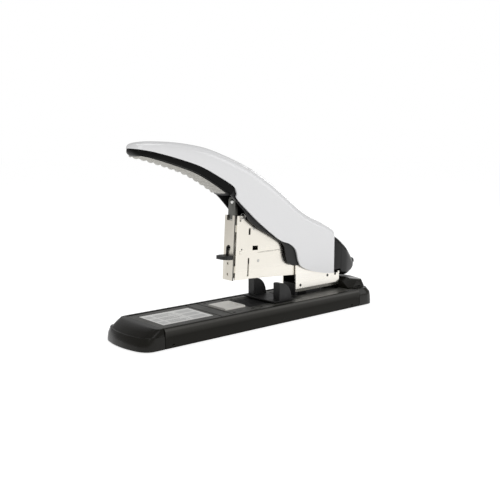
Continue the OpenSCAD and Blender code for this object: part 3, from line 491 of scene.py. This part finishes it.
def soften(obj, width, segments):
    """Rounds a shell's rim by width millimetres."""
    edge = obj.modifiers.new("edge", "BEVEL")
    edge.width = width * MM
    edge.segments = segments
    edge.limit_method = "ANGLE"
    edge.angle_limit = math.radians(RIM_ANGLE)
    return obj


cover = soften(shell("handle_cover_skin", COVER, t=1.7, n=8, steps=36, start=5), width=0.45, segments=3)
finish_mesh(cover, "cover_white", "handle", ["handle_cover"], RIM_ANGLE)

tub = soften(shell("grip_tub", TUB, t=1.8, n=8, steps=28, start=5), width=0.35, segments=2)
finish_mesh(tub, "black_gloss", "handle", ["handle_undershell"], RIM_ANGLE, "tub_gloss")


def grip(name):
    """Soft pad with chevron ribs: rows of points across the pad, each rib bowed towards the tip."""
    path = smooth([[r[2], r[3]] for r in TUB[2:-1]], 40)
    length = [0.0]
    for p, q in zip(path, path[1:]):
        length.append(length[-1] + math.hypot(q[0] - p[0], q[1] - p[1]))
    total = length[-1]
    # Half the pad's width, steps across it, spacing of the ribs and of the rows of points.
    half, across, pitch, step = 10.6, 28, 7.9, 0.55
    # How far a rib bows, and the part of the spacing that it fills.
    bow, filled = 6.5, 0.72
    # Height of the pad between ribs and of a rib above it, and how far the ends and sides taper.
    base_rise, rib_rise, fade, rim = 0.35, 1.25, 2.0, 0.10
    # How far the sides wrap back, the share of it that is used, and how deep the back is sunk.
    wrap, share, sunk = 0.75, 0.9, 0.5

    def at(s):
        s = min(max(s, 0.0), total - 1e-6)
        k = next(i for i in range(len(length) - 1) if length[i + 1] > s)
        f = (s - length[k]) / (length[k + 1] - length[k])
        p, q = path[k], path[k + 1]
        d = Vector((q[0] - p[0], 0, q[1] - p[1])).normalized()
        return Vector((p[0] + (q[0] - p[0]) * f, 0, p[1] + (q[1] - p[1]) * f)), d

    rings = []
    count = int(total / step)
    for i in range(count + 1):
        s = total * i / count
        point, d = at(s)
        out = Vector((-abs(d.z), 0, -abs(d.x))) if d.x > 0 else Vector((0, 0, -1))
        ring = []
        for j in range(across + 1):
            v = -1 + 2 * j / across
            y = half * v
            phase = ((s - bow * v * v) / pitch) % 1.0
            ridge = max(0.0, math.sin(math.pi * min(phase / filled, 1.0))) ** 0.6 if phase < filled else 0.0
            ends = min(1.0, s / fade, (total - s) / fade)
            sides = min(1.0, (1 - abs(v)) / rim)
            rise = (base_rise + rib_rise * ridge * max(sides, 0) ** 0.5) * max(ends, 0.0) ** 0.5
            lift = wrap * v * v * v * v
            ring.append(point + out * (rise - lift * share) + Vector((0, y, 0)))
        back = [point - out * sunk + Vector((0, y, 0)) for y in (half, -half)]
        rings.append(ring + back)
    return skin(name, rings)


pad = grip("grip_ribs")
finish_mesh(pad, "grip_rubber", "handle", ["grip_pad"], 60)


# ---------------------------------------------------------------- end cap of the magazine

# The head's pivot, and how far the head is tilted at rest.
PIVOT_X, PIVOT_Z, TILT = 98.0, 62.0, math.radians(3.3)
# Sections along the head, in millimetres from the pivot: X, lowest and highest Z, half width, and
# depth of the crown. Sections up to SOCKET_END sit in the socket and have nearly square lower corners.
SOCKET_END = 30
ROUND_CORNER, SQUARE_CORNER = 5.0, 1.0
CORNER_STEPS = 8
CAP = [
    [12.5, -20.2, 22, 12.3, 9],
    [22, -19.6, 19.6, 12.3, 10],
    [29, -19.4, 16, 12, 11],
    [31, -25, 14.8, 11.9, 11.5],
    [40, -26.9, 9.2, 10.9, 13],
    [47, -26.3, 3.4, 9.2, 13],
    [53, -23.6, -3, 7.4, 12],
    [57.4, -19.6, -8.6, 5.8, 7],
    [59.6, -17, -11, 4.4, 3.6]]


def pod(row, steps):
    """One section of the cap: rounded lower corners, upright sides and a rounded crown."""
    x, low, high, w, crown = row
    crown = min(crown, 0.8 * (high - low))
    rounded = min(ROUND_CORNER, 0.45 * (high - crown - low), 0.8 * w)
    corner = rounded if x > SOCKET_END else SQUARE_CORNER
    left = [(-w + corner * (1 - math.sin(a)), low + corner * (1 - math.cos(a)))
            for a in (0.5 * math.pi * i / CORNER_STEPS for i in range(CORNER_STEPS + 1))]
    over = []
    for i in range(1, steps):
        a = math.pi * i / steps
        cosine = math.cos(a)
        side = -w * math.copysign(abs(cosine) ** CROWN_POWER, cosine)
        over.append((side, high - crown + crown * math.sin(a) ** CROWN_POWER))
    flat = left + [(-w, high - crown)] + over + [(w, high - crown)] + [(-y, z) for y, z in reversed(left)]
    return [(PIVOT_X + x * math.cos(TILT) + z * math.sin(TILT),
             y,
             PIVOT_Z - x * math.sin(TILT) + z * math.cos(TILT))
            for y, z in flat]


end_cap = skin("end_cap_skin", [pod(row, 32) for row in smooth(CAP, 8)])
finish_mesh(end_cap, "black_gloss", "magazine", ["magazine_end_cap"], 40)


# ---------------------------------------------------------------- label print

# Three rows of print, in millimetres: a tinted block, four ink lines and a wider tinted block.
LABEL_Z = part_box("info_label")[1].z / MM
INK_HALF = 0.02
FIRST_ROW_Y, ROW_PITCH, BLOCK_DEPTH = -17.5, 12.2, 8.6
FRONT_BLOCK = (-124.5, -117.5)
REAR_BLOCK = (-89.0, -72.0)
LINE_X, LINE_INSET, LINE_PITCH, LINE_END = -115.0, 0.5, 2.3, 1.4
LINE_WIDTHS = (22.0, 19.0, 23.0, 15.0)
BOX_FACES = ([3, 2, 1, 0], [4, 5, 6, 7], [0, 1, 5, 4], [1, 2, 6, 5], [2, 3, 7, 6], [3, 0, 4, 7])

printed = {"label_tint": [], "label_ink": []}
for row in range(3):
    y = FIRST_ROW_Y + row * ROW_PITCH
    for x0, x1 in (FRONT_BLOCK, REAR_BLOCK):
        printed["label_tint"].append((x0, x1, y, y + BLOCK_DEPTH))
    for line in range(len(LINE_WIDTHS)):
        x1 = LINE_X + LINE_WIDTHS[(line + row) % len(LINE_WIDTHS)]
        near = y + line * LINE_PITCH
        printed["label_ink"].append((LINE_X, x1, near + LINE_INSET, near + LINE_END))

for ink, blocks in printed.items():
    verts, faces = [], []
    for x0, x1, y0, y1 in blocks:
        first = len(verts)
        corners = ((x0, y0), (x1, y0), (x1, y1), (x0, y1))
        verts += [(x, y, z) for z in (LABEL_Z - INK_HALF, LABEL_Z + INK_HALF) for x, y in corners]
        faces += [[first + i for i in face] for face in BOX_FACES]
    finish_mesh(make(ink + "_blocks", verts, faces), ink, "base")


# ---------------------------------------------------------------- stage, lights and camera

def light(name, location, target, size, energy):
    """A rectangular area light that faces target, in metres and watts."""
    data = bpy.data.lights.new(name, "AREA")
    data.shape = "RECTANGLE"
    data.size, data.size_y = size
    data.energy = energy
    obj = bpy.data.objects.new(name, data)
    obj.location = location
    obj.rotation_euler = (Vector(target) - Vector(location)).to_track_quat("-Z", "Y").to_euler()
    bpy.context.scene.collection.objects.link(obj)
    return obj


# A white floor that glows a little, so that it fades into the white backdrop.
FLOOR_HALF = 6
FLOOR_DROP = 0.0002
FLOOR_ALBEDO, FLOOR_GLOW = 0.45, 0.80
floor_mesh = bpy.data.meshes.new("floor")
floor_corners = [(-FLOOR_HALF, -FLOOR_HALF, 0), (FLOOR_HALF, -FLOOR_HALF, 0),
                 (FLOOR_HALF, FLOOR_HALF, 0), (-FLOOR_HALF, FLOOR_HALF, 0)]
floor_mesh.from_pydata(floor_corners, [], [[0, 1, 2, 3]])
floor = bpy.data.objects.new("floor", floor_mesh)
floor.location.z = -FLOOR_DROP
bpy.context.scene.collection.objects.link(floor)
floor_mat, nodes, links, shader = new_material("floor")
shader.inputs["Base Color"].default_value = (FLOOR_ALBEDO, FLOOR_ALBEDO, FLOOR_ALBEDO, 1)
shader.inputs["Emission Color"].default_value = (1, 1, 1, 1)
shader.inputs["Emission Strength"].default_value = FLOOR_GLOW
shader.inputs["Roughness"].default_value = 0.9
shader.inputs["Specular IOR Level"].default_value = 0.1
floor.data.materials.append(floor_mat)

# White where the camera sees it, and dimmer as a light on the object.
WORLD_LIGHT, WORLD_SEEN = 0.42, 1.0
world = bpy.data.worlds.new("studio")
bpy.context.scene.world = world
world.use_nodes = True
background = world.node_tree.nodes["Background"]
background.inputs["Color"].default_value = (1, 1, 1, 1)
rays = world.node_tree.nodes.new("ShaderNodeLightPath")
level = world.node_tree.nodes.new("ShaderNodeMapRange")
level.inputs["To Min"].default_value = WORLD_LIGHT
level.inputs["To Max"].default_value = WORLD_SEEN
world.node_tree.links.new(rays.outputs["Is Camera Ray"], level.inputs["Value"])
world.node_tree.links.new(level.outputs["Result"], background.inputs["Strength"])

light("key", (-0.75, -1.15, 0.75), (0, 0, 0.08), (0.9, 0.6), 3.0)
light("strip", (-0.45, -0.75, 1.05), (0, 0, 0.12), (0.9, 0.16), 1.2)
light("side", (0.95, -0.75, 0.45), (0, 0, 0.08), (0.35, 0.7), 1.4)
light("top", (0.1, 0.15, 1.2), (0, 0, 0.1), (0.9, 0.5), 3.6)
light("rim", (1.3, 0.5, 0.3), (0.1, 0, 0.06), (0.5, 0.8), 3.0).visible_camera = False

SENSOR_MM, LENS_MM = 36, 51.9912
CAMERA_PLACE = (-0.4930, -0.5630, 0.1874)
AZIMUTH, ELEVATION = math.radians(-41.08), math.radians(8.58)
camera_data = bpy.data.cameras.new("camera")
camera_data.lens = LENS_MM
camera_data.sensor_width = SENSOR_MM
camera_data.clip_start = 0.01
camera = bpy.data.objects.new("camera", camera_data)
back = Vector((
    math.sin(AZIMUTH) * math.cos(ELEVATION),
    -math.cos(AZIMUTH) * math.cos(ELEVATION),
    math.sin(ELEVATION),
))
camera.location = CAMERA_PLACE
camera.rotation_euler = (-back).to_track_quat("-Z", "Y").to_euler()
bpy.context.scene.collection.objects.link(camera)
bpy.context.scene.camera = camera
bpy.context.scene.view_settings.view_transform = "Standard"
